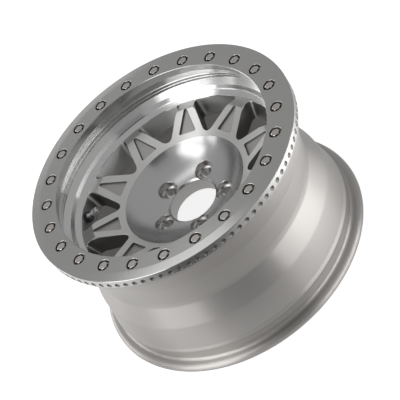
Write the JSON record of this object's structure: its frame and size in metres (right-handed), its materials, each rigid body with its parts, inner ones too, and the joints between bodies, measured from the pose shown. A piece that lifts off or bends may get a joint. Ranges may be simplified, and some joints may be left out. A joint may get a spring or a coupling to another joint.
{
  "type": "beadlock wheel",
  "caption": "Forged alloy off-road wheel with a ten-spoke pocketed web, a deep dished hub and a bolted beadlock ring with a dimpled edge.",
  "frame": {"origin": "centre of the hub bore at the hub's mounting face", "axes": "+Z along the wheel's axis, pointing outboard; +X through the middle of the first window"},
  "size_m": [0.4705, 0.4706, 0.2514],
  "materials": {
    "forged_alloy": "machined and satin",
    "ring_alloy": "satin",
    "steel": "satin",
    "chrome": "polished",
    "brass": "satin",
    "rubber": "matt"
  },
  "bodies": {
    "wheel": {"wheel_body": "forged_alloy", "beadlock_ring": "ring_alloy", "thread_inserts": "steel", "ring_washers": "steel", "valve_stem": "chrome", "valve_seal": "rubber", "valve_grommet": "rubber", "valve_washer": "chrome", "valve_nut": "steel", "valve_core_body": "brass", "valve_core_spring": "steel", "ring_bolt_01": "steel", "ring_bolt_02": "steel", "ring_bolt_03": "steel", "ring_bolt_04": "steel", "ring_bolt_05": "steel", "ring_bolt_06": "steel", "ring_bolt_07": "steel", "ring_bolt_08": "steel", "ring_bolt_09": "steel", "ring_bolt_10": "steel", "ring_bolt_11": "steel", "ring_bolt_12": "steel", "ring_bolt_13": "steel", "ring_bolt_14": "steel", "ring_bolt_15": "steel", "ring_bolt_16": "steel", "ring_bolt_17": "steel", "ring_bolt_18": "steel", "ring_bolt_19": "steel", "ring_bolt_20": "steel", "ring_bolt_21": "steel", "ring_bolt_22": "steel", "ring_bolt_23": "steel", "ring_bolt_24": "steel"},
    "cap": {"valve_cap": "chrome", "valve_cap_seal": "rubber"},
    "core_pin": {"valve_core_pin": "brass", "valve_core_seal": "rubber"}
  },
  "joints": [
    {"name": "valve_cap_off", "type": "slide", "parent": "wheel", "child": "cap", "axis": [-0.2801, -0.8619, 0.4226], "range_m": [0, 0.008]},
    {"name": "valve_pin_press", "type": "slide", "parent": "wheel", "child": "core_pin", "axis": [0.2801, 0.8619, -0.4226], "range_m": [0, 0.0012], "stiffness_N_per_m": 800, "springref_m": -0.001, "deforming": ["valve_core_spring"]}
  ]
}
